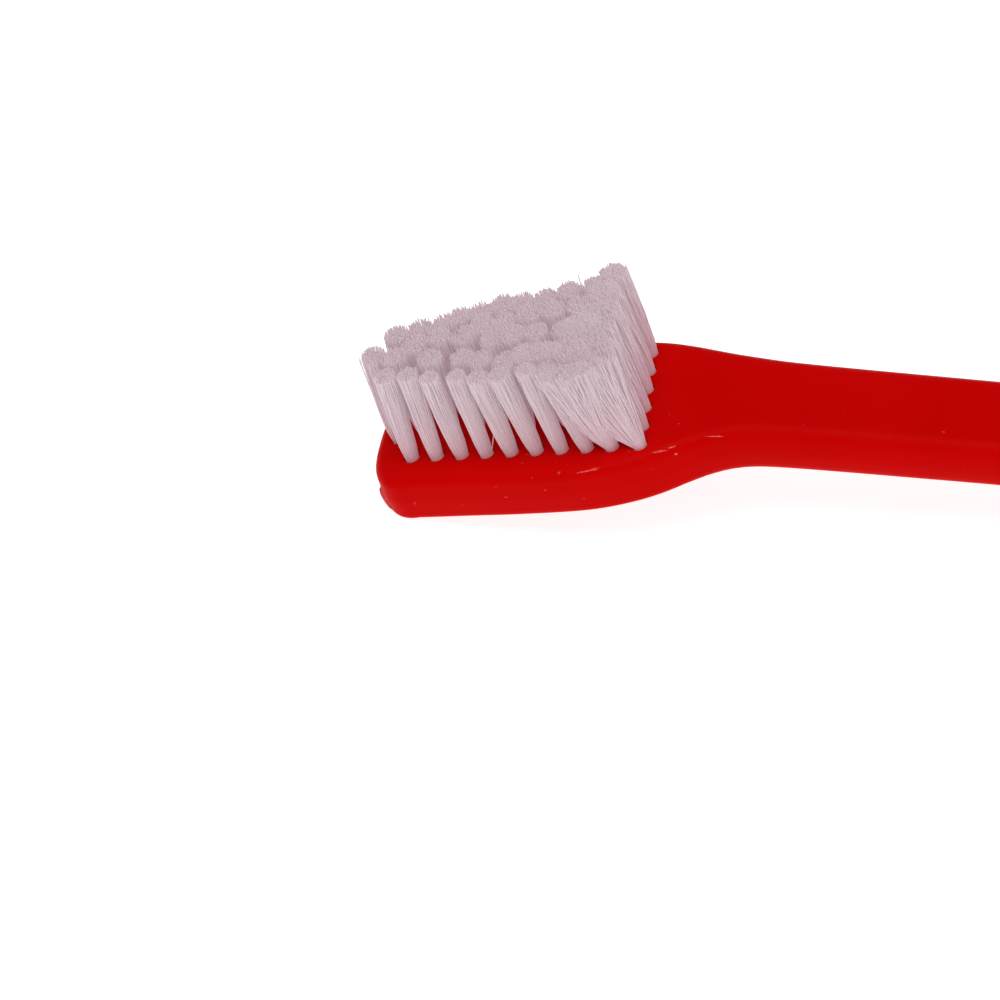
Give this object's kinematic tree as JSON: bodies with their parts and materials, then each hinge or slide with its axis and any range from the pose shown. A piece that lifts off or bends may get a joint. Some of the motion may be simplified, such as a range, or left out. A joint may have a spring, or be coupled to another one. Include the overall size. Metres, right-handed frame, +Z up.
{
  "type": "pet toothbrush",
  "caption": "Manual pet toothbrush: slim moulded handle with a broad, back-angled head that carries a dense, flat-trimmed field of upright nylon tufts.",
  "frame": {"origin": "on the floor plane, under the middle of the brush's bounding box, with the brush lying on its back", "axes": "+X from the head towards the end of the handle, +Y across the brush to the side whose row of tufts is closer set, +Z up, the way the bristles stand"},
  "size_m": [0.2162, 0.0166, 0.0218],
  "materials": {
    "handle_plastic": "red injection-moulded plastic, glossy to satin",
    "bristle_nylon": "off-white translucent nylon filament"
  },
  "bodies": {
    "root": {"handle": "handle_plastic", "tuft_a1": "bristle_nylon", "tuft_b1": "bristle_nylon", "tuft_b2": "bristle_nylon", "tuft_b3": "bristle_nylon", "tuft_c1": "bristle_nylon", "tuft_c2": "bristle_nylon", "tuft_c3": "bristle_nylon", "tuft_c4": "bristle_nylon", "tuft_d1": "bristle_nylon", "tuft_d2": "bristle_nylon", "tuft_d3": "bristle_nylon", "tuft_d4": "bristle_nylon", "tuft_e1": "bristle_nylon", "tuft_e2": "bristle_nylon", "tuft_e3": "bristle_nylon", "tuft_e4": "bristle_nylon", "tuft_f1": "bristle_nylon", "tuft_f2": "bristle_nylon", "tuft_f3": "bristle_nylon", "tuft_f4": "bristle_nylon", "tuft_f5": "bristle_nylon", "tuft_g1": "bristle_nylon", "tuft_g2": "bristle_nylon", "tuft_g3": "bristle_nylon", "tuft_g4": "bristle_nylon", "tuft_g5": "bristle_nylon", "tuft_h1": "bristle_nylon", "tuft_h2": "bristle_nylon", "tuft_h3": "bristle_nylon", "tuft_h4": "bristle_nylon", "tuft_h5": "bristle_nylon", "tuft_i1": "bristle_nylon", "tuft_i2": "bristle_nylon", "tuft_i3": "bristle_nylon", "tuft_i4": "bristle_nylon", "tuft_i5": "bristle_nylon", "tuft_j1": "bristle_nylon", "tuft_j2": "bristle_nylon", "tuft_j3": "bristle_nylon", "tuft_k1": "bristle_nylon", "tuft_m1": "bristle_nylon", "tuft_m2": "bristle_nylon", "tuft_m3": "bristle_nylon", "tuft_m4": "bristle_nylon", "tuft_m5": "bristle_nylon", "tuft_m6": "bristle_nylon", "tuft_nose": "bristle_nylon"}
  },
  "joints": []
}
